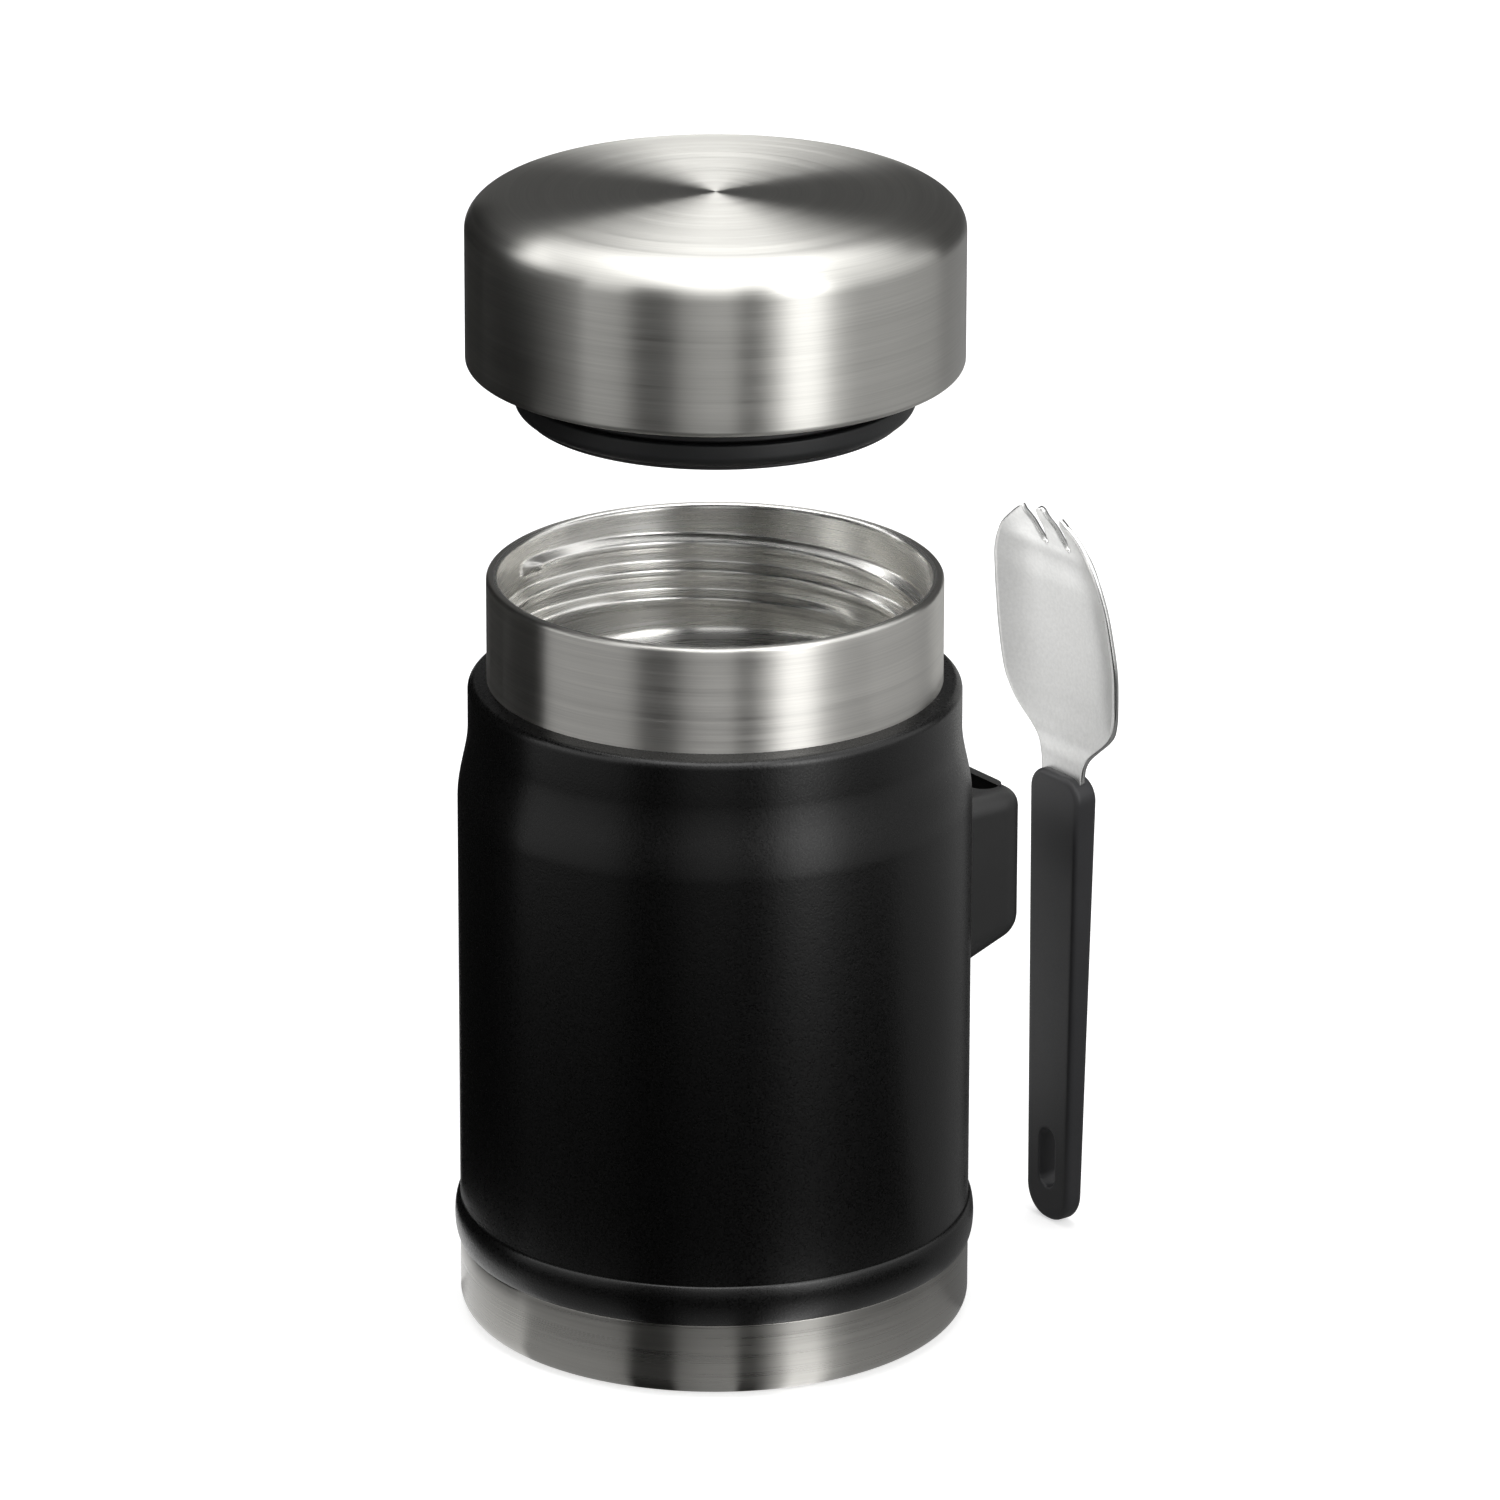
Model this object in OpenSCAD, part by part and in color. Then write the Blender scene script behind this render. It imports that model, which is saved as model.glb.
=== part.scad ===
// Insulated food jar: a double-walled steel jar, a lid with a threaded stopper,
// and a spork that stows in a holder on the jar's side.
// The jar's axis is Z, its foot stands on Z = 0 and the spork holder faces +X.
// The lid is drawn raised off the jar, and the spork stands beside its holder.

/* [Body] */
// Height from the table to the rim of the mouth
jar_h = 130; // [120:1:170]
// Outer diameter of the painted shell
body_d = 86; // [84:0.5:96]
// Thickness of the steel sheet
sheet = 0.8; // [0.6:0.05:0.9]
// Width of the vacuum gap between the two shells
vacuum_gap = 2.4; // [2:0.1:4]
// Height of the bare steel cup at the foot
foot_h = 13; // [10:0.5:18]
// Radius of the rounded lower edge of the foot
foot_round = 3.2; // [2:0.1:4]
// Height of the painted bead above the foot
bead_h = 7; // [5:0.5:9]
// How far the bead stands proud of the shell
bead_proud = 0.9; // [0.4:0.1:1.5]
// Height of the upright side under the ledge
ledge_side = 8; // [5:0.5:10]
// Height of the flare from the ledge side out to the shell
flare_h = 13; // [8:0.5:18]

/* [Neck] */
// Height of the bare steel collar above the ledge
collar_h = 18; // [17:0.5:20]
// Inner diameter of the mouth
mouth_d = 72; // [68:0.2:73]
// Width of the lip from the mouth to the collar's outside
lip_w = 2; // [1.9:0.05:2.2]
// Height of the sloping seat that the lid's seal closes on
seat_h = 6; // [5.5:0.25:7]
// Distance between neighbouring thread ridges
thread_pitch = 5; // [4.6:0.1:5.4]
// Number of separate ridges that wind side by side
thread_starts = 2; // [1:1:2]
// Turns that each ridge in the neck makes
neck_turns = 1.3; // [0.8:0.1:1.3]
// Depth of the neck's ridges
neck_ridge = 1.6; // [1.3:0.1:1.7]

/* [Lid] */
// Height of the lid from its skirt to its top
lid_h = 29; // [27.5:0.5:34]
// How far the lid is drawn above its closed place
lid_rise = 55; // [40:5:80]
// Width of the rounded top edge
edge_reach = 8; // [5:0.5:10]
// Height of the rounded top edge
edge_drop = 5.5; // [3:0.5:7]
// Height of the shallow crown on the lid's top
crown = 0.5; // [0.2:0.1:1]
// Thickness of the plastic lining inside the lid
lining = 1.4; // [1.2:0.1:1.6]
// Wall thickness of the stopper
stopper_wall = 2; // [1.6:0.1:2.4]
// How far the stopper reaches below the skirt
stopper_reach = 8.6; // [8.4:0.1:9]
// How far the stopper's ridges stand out
stopper_ridge = 3; // [2.6:0.1:3.1]
// Height of the silicone seal
seal_h = 4.1; // [3.6:0.1:4.4]
// How far the seal stands out from the stopper
seal_proud = 0.9; // [0.7:0.1:1.1]

/* [Holder] */
// Height of the holder's top above the table
holder_top = 83.3; // [78:0.1:86]
// Height of the holder's outer face
holder_h = 27.4; // [22:0.2:32]
// Width of the holder
holder_w = 24.8; // [23.4:0.2:28]
// How far the holder stands out from the shell
holder_reach = 13.9; // [13:0.1:16]
// Thickness of the bonding pad behind the holder
pad_t = 0.4; // [0.3:0.05:0.6]

/* [Spork] */
// How far the spork stands out from its stowed place
spork_out = 16.8; // [14:0.2:24]
// How far the spork stands to one side of its stowed place
spork_side = 5.5; // [0:0.5:8]
// Length of the plastic handle
handle_l = 82; // [76:1:88]
// Width of the handle at its top
handle_w = 13.5; // [13:0.1:14]
// Width of the handle at its lower end
handle_end_w = 11.7; // [11.2:0.1:12.4]
// Thickness of the handle at its top
handle_t = 4.5; // [4.2:0.1:4.8]
// Thickness of the handle at its lower end
handle_end_t = 3.5; // [3.1:0.1:3.8]
// Width of the hanging slot
hang_w = 4.2; // [4:0.1:5.2]
// Length of the hanging slot
hang_l = 10.8; // [9:0.2:13]
// Length of the steel head above the handle
head_l = 48.6; // [44:0.2:54]
// Greatest width of the head
head_w = 32.2; // [29:0.2:35]
// Thickness of the head's steel
blade_t = 1; // [0.8:0.1:1.2]
// Length of the tines
tine_l = 7.7; // [6:0.1:9]
// How far the bowl's middle lies behind its rim
bowl_depth = 3.3; // [2.4:0.1:4]
// How far the tines lean forward of the handle
tip_lean = 6; // [4.5:0.1:7]

/* [Fits] */
// Gap between the collar and the lid's lining
collar_gap = 0.9; // [0.6:0.05:1]
// Gap between the stopper's ridges and the mouth
ridge_gap = 0.7; // [0.5:0.05:0.9]
// Gap between the neck's rim and the lid's ceiling when the lid is closed
rim_gap = 0.6; // [0.4:0.1:1]
// Height of the seat's upper edge above the seal when the lid is closed
seat_gap = 0.3; // [0.3:0.05:0.6]
// How far the throat is narrower than the seal, on each side
seat_grip = 1.6; // [1.4:0.05:1.8]
// Gap between the spork's handle and the slot's inner and outer walls
slot_gap = 0.35; // [0.25:0.05:0.5]
// Gap between the spork's handle and the slot's ends
slot_end_gap = 0.85; // [0.7:0.05:1.2]

/* [Hidden] */
$fn = 128;
eps = 0.01;

// Body radii and heights
body_r = body_d / 2;
shell_in_r = body_r - sheet;
vessel_r = shell_in_r - vacuum_gap;
vessel_in_r = vessel_r - sheet;
ledge_z = jar_h - collar_h;
ledge_fall = 0.4;
ledge_round = 1.5;
flare_top_z = ledge_z - ledge_side;
flare_foot_z = flare_top_z - flare_h;
bead_top_z = foot_h + bead_h;
tuck_h = 4;
fit = 0.05;

// Stopper and seal, in the lid's own frame, with Z = 0 at the skirt's edge
stopper_r = mouth_d / 2 - ridge_gap - stopper_ridge;
spigot_step = 1.7;
spigot_r = stopper_r - spigot_step;
floor_lip_t = 0.6;
floor_lip_r = spigot_r + 0.7;
floor_plug_t = 1.6;
seal_gap = 0.1;
seal_round = 2;
seal_r = stopper_r + seal_proud;
seal_bottom_z = floor_lip_t + seal_gap - stopper_reach;
seal_top_z = seal_bottom_z + seal_h;
spigot_top_z = seal_top_z + seal_gap;

// Neck radii and heights
mouth_r = mouth_d / 2;
collar_r = mouth_r + lip_w;
throat_r = seal_r - seat_grip;
lip_h = 1.2;
lip_round = 0.6;
seat_top_z = ledge_z + seal_top_z + seat_gap;
throat_top_z = seat_top_z - seat_h;
throat_h = 2;
shoulder_top_z = throat_top_z - throat_h;
shoulder_h = 9.6;

// Thread
lead = thread_pitch * thread_starts;
thread_drop = 5;
thread_angle = 120;
ridge_step = 9;
ridge_taper = 27;
ridge_root = 0.3;
neck_ridge_w = [3, 1.4];
stopper_ridge_w = [2.4, 1.2];
stopper_turns = 0.95;
stopper_lead_in = 54;

// Vacuum bottom
bottom_gap = 4.2;
bottom_round = 6;
jacket_z = foot_h + tuck_h + fit;
flange_h = 4;
dimple_r = 6;
dimple_h = 1.4;
vent_r = 1.2;
plug_r = 3.2;
vessel_bottom_z = jacket_z + sheet + bottom_gap;
vessel_split_z = vessel_bottom_z + bottom_round;
clip_t = 0.4;
clip_l = 14;
clip_w = 5;
getter_r = 4;
getter_h = 2;
getter_x = 13;
foil_t = 0.2;
foil_gap = 0.1;
foil_end = 4;

// Lid
lid_z = ledge_z + lid_rise;
hem_w = 1.6;
hem_h = 1.8;
hem_round = 1.1;
cap_t = 0.9;
lid_r = collar_r + collar_gap + lining + cap_t;
ceiling_z = collar_h + rim_gap;
ceiling_t = 1.6;
flange_w = 3.5;
flange_r = stopper_r + flange_w;
flange_t = 1.6;
foam_gap = 0.2;

// Holder and spork
holder_face_x = body_r + holder_reach;
holder_root = 3;
holder_round = 5;
holder_top_round = 3;
holder_slant = 19.7;
holder_wall = 1.7;
slot_x = holder_face_x - holder_wall - slot_gap - handle_t / 2;
slot_l = handle_w + 2 * slot_end_gap;
slot_t = handle_t + 2 * slot_gap;
slot_round = slot_t / 2 - 0.1;
pad_w = 22;
pad_margin = 3;
spork_place = [slot_x + spork_out, -spork_side, 0];
handle_edge = 1;
handle_end_round = 5.5;
handle_top_round = 4;
handle_draft = 0.33;
hang_z = 6;
tang_w = 7;
tang_l = 18;
neck_in = 1.2;
notch_y = 3.1;
notch_r = 0.8;
notch_open = 2.45;

// Points along an elliptical arc about [cx, cy], with radii rx and ry, from angle a0 to a1
function arc_pts(cx, cy, rx, ry, a0, a1, n = 8) = [
    for (i = [0:n])
        let (a = a0 + (a1 - a0) * i / n)
        [cx + rx * cos(a), cy + ry * sin(a)]
];

// Points of a smooth S from [r0, z0] to [r1, z1], upright at both ends
function s_pts(r0, z0, r1, z1, n = 10) = [
    for (i = [0:n])
        [r0 + (r1 - r0) * (1 - cos(180 * i / n)) / 2, z0 + (z1 - z0) * i / n]
];

function shifted(points, dr) = [for (p = points) [p[0] + dr, p[1]]];

function reversed(points) = [for (i = [len(points) - 1:-1:0]) points[i]];

// Smooth value at x through the knots [x, value], by Hermite spans
function knot_slope(k, i) =
    i == 0 ? (k[1][1] - k[0][1]) / (k[1][0] - k[0][0]) :
    i == len(k) - 1 ? (k[i][1] - k[i - 1][1]) / (k[i][0] - k[i - 1][0]) :
    (k[i + 1][1] - k[i - 1][1]) / (k[i + 1][0] - k[i - 1][0]);

function span_of(k, x, i = 0) = i >= len(k) - 2 || x < k[i + 1][0] ? i : span_of(k, x, i + 1);

function smooth_at(k, x) =
    let (
        i = span_of(k, x),
        h = k[i + 1][0] - k[i][0],
        t = (x - k[i][0]) / h
    )
    k[i][1] * (2 * pow(t, 3) - 3 * t * t + 1) + k[i + 1][1] * (3 * t * t - 2 * pow(t, 3))
    + h * knot_slope(k, i) * (pow(t, 3) - 2 * t * t + t)
    + h * knot_slope(k, i + 1) * (pow(t, 3) - t * t);

module revolve(points) {
    rotate_extrude() polygon(points);
}

// A ridge that winds down a wall of radius wall_r from height z and angle a. Its crest
// stands rise away from the wall: inwards if rise is negative. It fades out at both ends.
module helix_ridge(wall_r, rise, widths, z, a, turns) {
    root = wall_r - sign(rise) * ridge_root;
    count = ceil(360 * turns / ridge_step);
    function grown(t) = min(1, t / ridge_taper, (360 * turns - t) / ridge_taper);
    function ring(t) =
        let (
            c = [cos(a - t), sin(a - t)],
            zc = z - lead * t / 360,
            crest = wall_r + rise * max(0.02, grown(t))
        )
        [
            [c[0] * root, c[1] * root, zc - widths[0] / 2],
            [c[0] * crest, c[1] * crest, zc - widths[1] / 2],
            [c[0] * crest, c[1] * crest, zc + widths[1] / 2],
            [c[0] * root, c[1] * root, zc + widths[0] / 2]
        ];
    points = [for (i = [0:count]) each ring(360 * turns * i / count)];
    sides = [
        for (i = [0:count - 1])
            for (j = [0:3])
                let (p = 4 * i + j, q = 4 * i + (j + 1) % 4)
                each [[p, p + 4, q], [q, p + 4, q + 4]]
    ];
    last = 4 * count;
    ends = [[0, 1, 2], [0, 2, 3], [last, last + 2, last + 1], [last, last + 3, last + 2]];
    faces = concat(sides, ends);
    polyhedron(points, rise < 0 ? [for (f = faces) [f[0], f[2], f[1]]] : faces);
}

module thread(wall_r, rise, widths, z, a, turns) {
    for (k = [0:thread_starts - 1])
        helix_ridge(wall_r, rise, widths, z, a + 360 * k / thread_starts, turns);
}

// The liner's neck: the threaded mouth, the seal's seat and the throat below it, down to
// where the vessel is welded on
module inner_neck() {
    seat = concat(
        s_pts(mouth_r, seat_top_z, throat_r, throat_top_z),
        [[throat_r, shoulder_top_z]]
    );
    inner = concat([[mouth_r, jar_h - lip_round]], seat);
    outer = reversed(shifted(seat, sheet));
    lip = [[mouth_r + sheet, jar_h], [mouth_r + lip_round, jar_h]];
    rounding = arc_pts(mouth_r + lip_round, jar_h - lip_round, lip_round, lip_round, 90, 180, 4);
    color("lightgray") {
        revolve(concat(inner, outer, lip, rounding));
        thread(mouth_r, -neck_ridge, neck_ridge_w, jar_h - thread_drop, thread_angle, neck_turns);
    }
}

// The liner's wall, from the throat down to where its bottom is welded on
module inner_vessel() {
    inner = concat(
        s_pts(throat_r, shoulder_top_z, vessel_in_r, shoulder_top_z - shoulder_h),
        [[vessel_in_r, vessel_split_z]]
    );
    color("lightgray") revolve(concat(inner, reversed(shifted(inner, sheet))));
}

module inner_bottom() {
    corner_r = vessel_r - bottom_round;
    corner_z = vessel_bottom_z + bottom_round;
    inner_round = bottom_round - sheet;
    color("silver") revolve(concat(
        [[0, vessel_bottom_z]],
        arc_pts(corner_r, corner_z, bottom_round, bottom_round, -90, 0),
        arc_pts(corner_r, corner_z, inner_round, inner_round, 0, -90),
        [[0, vessel_bottom_z + sheet]]
    ));
}

module neck_ring() {
    foot_z = ledge_z - 3 * sheet;
    color("silver") revolve(concat(
        [[collar_r - sheet, foot_z], [collar_r, foot_z]],
        arc_pts(collar_r - lip_round, jar_h - lip_round, lip_round, lip_round, 0, 90, 4),
        [
            [mouth_r + sheet, jar_h],
            [mouth_r + sheet, jar_h - lip_h],
            [collar_r - sheet, jar_h - lip_h]
        ]
    ));
}

module outer_shell() {
    side = s_pts(lid_r, flare_top_z, body_r, flare_foot_z);
    edge_z = ledge_z - ledge_fall - ledge_round;
    bead_mid = (foot_h + bead_top_z) / 2;
    color([0.07, 0.07, 0.07]) revolve(concat(
        [[collar_r, ledge_z]],
        arc_pts(lid_r - ledge_round, edge_z, ledge_round, ledge_round, 90, 0, 6),
        side,
        arc_pts(body_r, bead_mid, bead_proud, bead_h / 2, 90, -90, 12),
        [[shell_in_r, foot_h]],
        reversed(shifted(side, -sheet)),
        [[lid_r - sheet, edge_z - sheet], [collar_r, ledge_z - 2 * sheet]]
    ));
}

module outer_bottom() {
    top_z = jacket_z + sheet;
    color("silver") difference() {
        revolve([
            [0, jacket_z + dimple_h],
            [dimple_r, jacket_z + dimple_h],
            [dimple_r + sheet, jacket_z],
            [shell_in_r, jacket_z],
            [shell_in_r, top_z + flange_h],
            [shell_in_r - sheet, top_z + flange_h],
            [shell_in_r - sheet, top_z],
            [dimple_r + 2 * sheet, top_z],
            [dimple_r + sheet, top_z + dimple_h],
            [0, top_z + dimple_h]
        ]);
        translate([0, 0, jacket_z]) cylinder(h = 4 * sheet + dimple_h, r = vent_r);
    }
}

module vacuum_plug() {
    seat_z = jacket_z + dimple_h;
    color("darkkhaki") {
        translate([0, 0, seat_z]) cylinder(h = sheet, r = vent_r);
        translate([0, 0, jacket_z + dimple_h / 3]) cylinder(h = dimple_h * 2 / 3, r = plug_r);
    }
}

module getter() {
    color("dimgray")
        translate([getter_x, 0, vessel_bottom_z - clip_t - getter_h])
        cylinder(h = getter_h, r = getter_r);
}

module getter_clip() {
    color("gray")
        translate([getter_x - clip_l / 2, -clip_w / 2, vessel_bottom_z - clip_t])
        cube([clip_l, clip_w, clip_t]);
}

module radiation_foil() {
    foil_in_r = vessel_r + foil_gap;
    color("chocolate") revolve([
        [foil_in_r, vessel_split_z + foil_end],
        [foil_in_r + foil_t, vessel_split_z + foil_end],
        [foil_in_r + foil_t, shoulder_top_z - shoulder_h - foil_end],
        [foil_in_r, shoulder_top_z - shoulder_h - foil_end]
    ]);
}

module base_cup() {
    tuck_r = shell_in_r - fit;
    color("silver") revolve(concat(
        [[0, 0]],
        arc_pts(body_r - foot_round, foot_round, foot_round, foot_round, -90, 0),
        [
            [body_r, foot_h],
            [tuck_r, foot_h],
            [tuck_r, foot_h + tuck_h],
            [tuck_r - sheet, foot_h + tuck_h],
            [tuck_r - sheet, foot_h - sheet],
            [body_r - sheet, foot_h - sheet]
        ],
        arc_pts(body_r - foot_round, foot_round, foot_round - sheet, foot_round - sheet, 0, -90),
        [[0, sheet]]
    ));
}

// Rounded rectangle about the origin
module rounded_rect(size, r) {
    square([size[0] - 2 * r, size[1]], center = true);
    square([size[0], size[1] - 2 * r], center = true);
    for (x = [-1, 1])
        for (y = [-1, 1])
            translate([x * (size[0] / 2 - r), y * (size[1] / 2 - r)]) circle(r);
}

// A disc of radius r and thickness t about the origin, with rims rounded by edge
module soft_disc(r, t, edge) {
    e = min(edge, t / 2 - 0.05);
    rotate_extrude($fn = 32) polygon(concat(
        [[0, -t / 2]],
        arc_pts(r - e, -t / 2 + e, e, e, -90, 0, 5),
        arc_pts(r - e, t / 2 - e, e, e, 0, 90, 5),
        [[0, t / 2]]
    ));
}

// A block that is rounded all round, with an underside that slants down to the shell
module spork_holder() {
    face_x = holder_face_x - holder_round;
    root_x = body_r - holder_root;
    foot_z = holder_top - holder_h + holder_round;
    root_foot_z = foot_z - (face_x - root_x) * tan(holder_slant);
    color([0.17, 0.17, 0.17]) difference() {
        hull()
            for (y = [-1, 1] * (holder_w / 2 - holder_round)) {
                for (x = [root_x, face_x])
                    translate([x, y, holder_top - holder_top_round])
                        soft_disc(holder_round, 2 * holder_top_round, holder_top_round);
                translate([face_x, y, foot_z]) sphere(holder_round, $fn = 32);
                translate([root_x, y, root_foot_z]) sphere(holder_round, $fn = 32);
            }
        cylinder(h = holder_top + holder_h, r = body_r + pad_t);
        translate([slot_x, 0, 0])
            linear_extrude(holder_top + holder_h) rounded_rect([slot_t, slot_l], slot_round);
    }
}

module holder_pad() {
    pad_top = holder_top - pad_margin;
    pad_foot = holder_top - holder_h;
    color("dimgray") intersection() {
        revolve([
            [body_r, pad_foot],
            [body_r + pad_t, pad_foot],
            [body_r + pad_t, pad_top],
            [body_r, pad_top]
        ]);
        translate([0, -pad_w / 2, 0]) cube([2 * body_r, pad_w, jar_h]);
    }
}

// Height along the spork, from the handle's lower end, at share t of the head's length
function head_z(t) = handle_l + t * head_l;

// Half the head's width at share t of its length
head_half = [
    [0, 0.33], [0.04, 0.35], [0.08, 0.41], [0.12, 0.54], [0.165, 0.71], [0.206, 0.83],
    [0.25, 0.9], [0.29, 0.943], [0.37, 0.98], [0.47, 1], [0.58, 0.983], [0.68, 0.953],
    [0.78, 0.886], [0.865, 0.76], [0.925, 0.575], [0.98, 0.34]
];
head_last = 0.98;
dish_last = 0.96;
function half_width(t) = smooth_at(head_half, t) * head_w / 2;

// The rim's lean, as shares of tip_lean, and the dip of the bowl's middle behind the rim,
// as shares of bowl_depth
rim_lean = [
    [-0.5, 0], [0.04, 0], [0.12, -0.08], [0.2, 0], [0.3, 0.16], [0.47, 0.31],
    [0.68, 0.56], [0.78, 0.72], [0.865, 0.82], [0.925, 0.83], [0.98, 0.92], [1.05, 0.98]
];
middle_dip = [
    [-0.5, 0], [0.04, 0], [0.165, 0.15], [0.29, 0.64], [0.47, 0.86], [0.68, 1.02],
    [0.78, 1.03], [0.84, 1], [0.905, 0.58], [0.967, 0.13], [1.05, -0.2]
];
bowl_power = 3.2;

function blade_x(y, t) =
    let (
        w = half_width(max(0, min(t, dish_last))),
        across = min(abs(y) / w, 1.15)
    )
    tip_lean * smooth_at(rim_lean, t)
    - bowl_depth * smooth_at(middle_dip, t) * (1 - pow(across, bowl_power));

// The dished sheet that the head is cut from
module dished_sheet() {
    rows = 30;
    cols = 20;
    reach = head_w / 2 + 1;
    function place(i, j, side) =
        let (t = 1.05 * i / rows, y = reach * (2 * j / cols - 1))
        [side * blade_t / 2 - blade_x(y, t), y, head_z(t)];
    points = [
        for (side = [-1, 1])
            for (i = [0:rows])
                for (j = [0:cols]) place(i, j, side)
    ];
    back = (rows + 1) * (cols + 1);
    function at(i, j) = i * (cols + 1) + j;
    skins = [
        for (i = [0:rows - 1])
            for (j = [0:cols - 1])
                let (a = at(i, j), b = at(i, j + 1), c = at(i + 1, j + 1), d = at(i + 1, j))
                each [[a, b, c], [a, c, d], [back + a, back + c, back + b], [back + a, back + d, back + c]]
    ];
    edges = concat(
        [for (j = [0:cols - 1]) each quad(at(0, j), at(0, j + 1), back)],
        [for (j = [0:cols - 1]) each quad(at(rows, j + 1), at(rows, j), back)],
        [for (i = [0:rows - 1]) each quad(at(i + 1, 0), at(i, 0), back)],
        [for (i = [0:rows - 1]) each quad(at(i, cols), at(i + 1, cols), back)]
    );
    polyhedron(points, concat(skins, edges));
}

function quad(a, b, back) = [[b, a, back + a], [b, back + a, back + b]];

// Outline of the head in Y and Z, before the notches between its tines are cut
module head_outline() {
    steps = 48;
    side = [for (i = [0:steps]) let (t = head_last * i / steps) [half_width(t), head_z(t)]];
    tip = [[head_w * 0.04, head_z(1)]];
    polygon(concat(
        side, tip,
        [for (p = reversed(concat(side, tip))) [-p[0], p[1]]]
    ));
}

module tine_notches() {
    foot_z = head_z(1) - tine_l + notch_r;
    for (y = [-notch_y, notch_y])
        translate([y, foot_z]) {
            circle(notch_r);
            polygon([
                [-notch_r, 0], [notch_r, 0],
                [notch_open, tine_l], [-notch_open, tine_l]
            ]);
        }
}

module along_x(depth) {
    translate([-depth / 2, 0, 0]) rotate([90, 0, 90]) linear_extrude(depth) children();
}

// The head's neck, which enters the handle's top at its full width, and its tang
module tang() {
    neck_w = 2 * half_width(0);
    translate([-blade_t / 2, -tang_w / 2, handle_l - tang_l]) cube([blade_t, tang_w, tang_l]);
    translate([-blade_t / 2, -neck_w / 2, handle_l - neck_in]) cube([blade_t, neck_w, neck_in]);
}

module spork_head() {
    color("lightgray") translate(spork_place) {
        intersection() {
            dished_sheet();
            along_x(head_w) difference() {
                head_outline();
                tine_notches();
            }
        }
        tang();
    }
}

// A flat grip that tapers on its back; its front stands almost upright
module spork_handle() {
    end_x = (handle_end_t - handle_t) / 2 - handle_draft;
    end_y = handle_end_w / 2 - handle_end_round;
    top_y = handle_w / 2 - handle_top_round;
    color([0.2, 0.2, 0.2]) translate(spork_place) difference() {
        hull()
            for (side = [-1, 1]) {
                translate([end_x, side * end_y, handle_end_round])
                    rotate([0, 90, 0]) soft_disc(handle_end_round, handle_end_t, handle_edge);
                translate([0, side * top_y, handle_l - handle_top_round])
                    rotate([0, 90, 0]) soft_disc(handle_top_round, handle_t, handle_edge);
            }
        tang();
        along_x(2 * handle_t)
            translate([0, hang_z + hang_l / 2]) rounded_rect([hang_w, hang_l], hang_w / 2 - eps);
    }
}

// Outer wall of the lid's steel cap for a cap of radius r and height h, from the top
// centre down to just above its hem
function cap_wall(r, h, reach, drop) =
    let (flat_r = r - reach, edge_z = h - crown - drop)
    concat(
        [for (i = [0:4]) [flat_r * i / 4, h - crown * pow(i / 4, 2)]],
        arc_pts(flat_r, edge_z, reach, drop, 84, 0, 14)
    );

module lid_cap() {
    inner = cap_wall(lid_r - cap_t, lid_h - cap_t, edge_reach - cap_t / 2, edge_drop - cap_t / 2);
    color("silver") translate([0, 0, lid_z]) revolve(concat(
        cap_wall(lid_r, lid_h, edge_reach, edge_drop),
        arc_pts(lid_r - hem_round, hem_round, hem_round, hem_round, 0, -90, 5),
        [[lid_r - hem_w, 0], [lid_r - hem_w, hem_h], [lid_r - cap_t, hem_h]],
        reversed(inner)
    ));
}

module lid_lining() {
    outer_r = lid_r - cap_t;
    inner_r = outer_r - lining;
    color([0.1, 0.1, 0.1]) translate([0, 0, lid_z]) revolve([
        [inner_r, hem_h],
        [outer_r, hem_h],
        [outer_r, ceiling_z + ceiling_t],
        [stopper_r, ceiling_z + ceiling_t],
        [stopper_r, ceiling_z],
        [inner_r, ceiling_z]
    ]);
}

module stopper() {
    bore_r = stopper_r - stopper_wall;
    flange_z = ceiling_z + ceiling_t;
    ridge_z = collar_h - thread_drop - thread_pitch / 2 + lead * stopper_lead_in / 360;
    ridge_angle = thread_angle + stopper_lead_in + 360 * lid_rise / lead;
    spigot_z = floor_lip_t - stopper_reach;
    color([0.12, 0.12, 0.12]) translate([0, 0, lid_z]) {
        revolve([
            [spigot_r - stopper_wall, spigot_z],
            [spigot_r, spigot_z],
            [spigot_r, spigot_top_z],
            [stopper_r, spigot_top_z],
            [stopper_r, flange_z],
            [flange_r, flange_z],
            [flange_r, flange_z + flange_t],
            [bore_r, flange_z + flange_t],
            [bore_r, spigot_top_z + stopper_wall],
            [spigot_r - stopper_wall, spigot_top_z + stopper_wall]
        ]);
        thread(stopper_r, stopper_ridge, stopper_ridge_w, ridge_z, ridge_angle, stopper_turns);
    }
}

module stopper_floor() {
    plug_r_in = spigot_r - stopper_wall;
    low_z = -stopper_reach;
    color([0.14, 0.14, 0.14]) translate([0, 0, lid_z]) revolve([
        [0, low_z],
        [floor_lip_r, low_z],
        [floor_lip_r, low_z + floor_lip_t],
        [plug_r_in, low_z + floor_lip_t],
        [plug_r_in, low_z + floor_lip_t + floor_plug_t],
        [0, low_z + floor_lip_t + floor_plug_t]
    ]);
}

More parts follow.
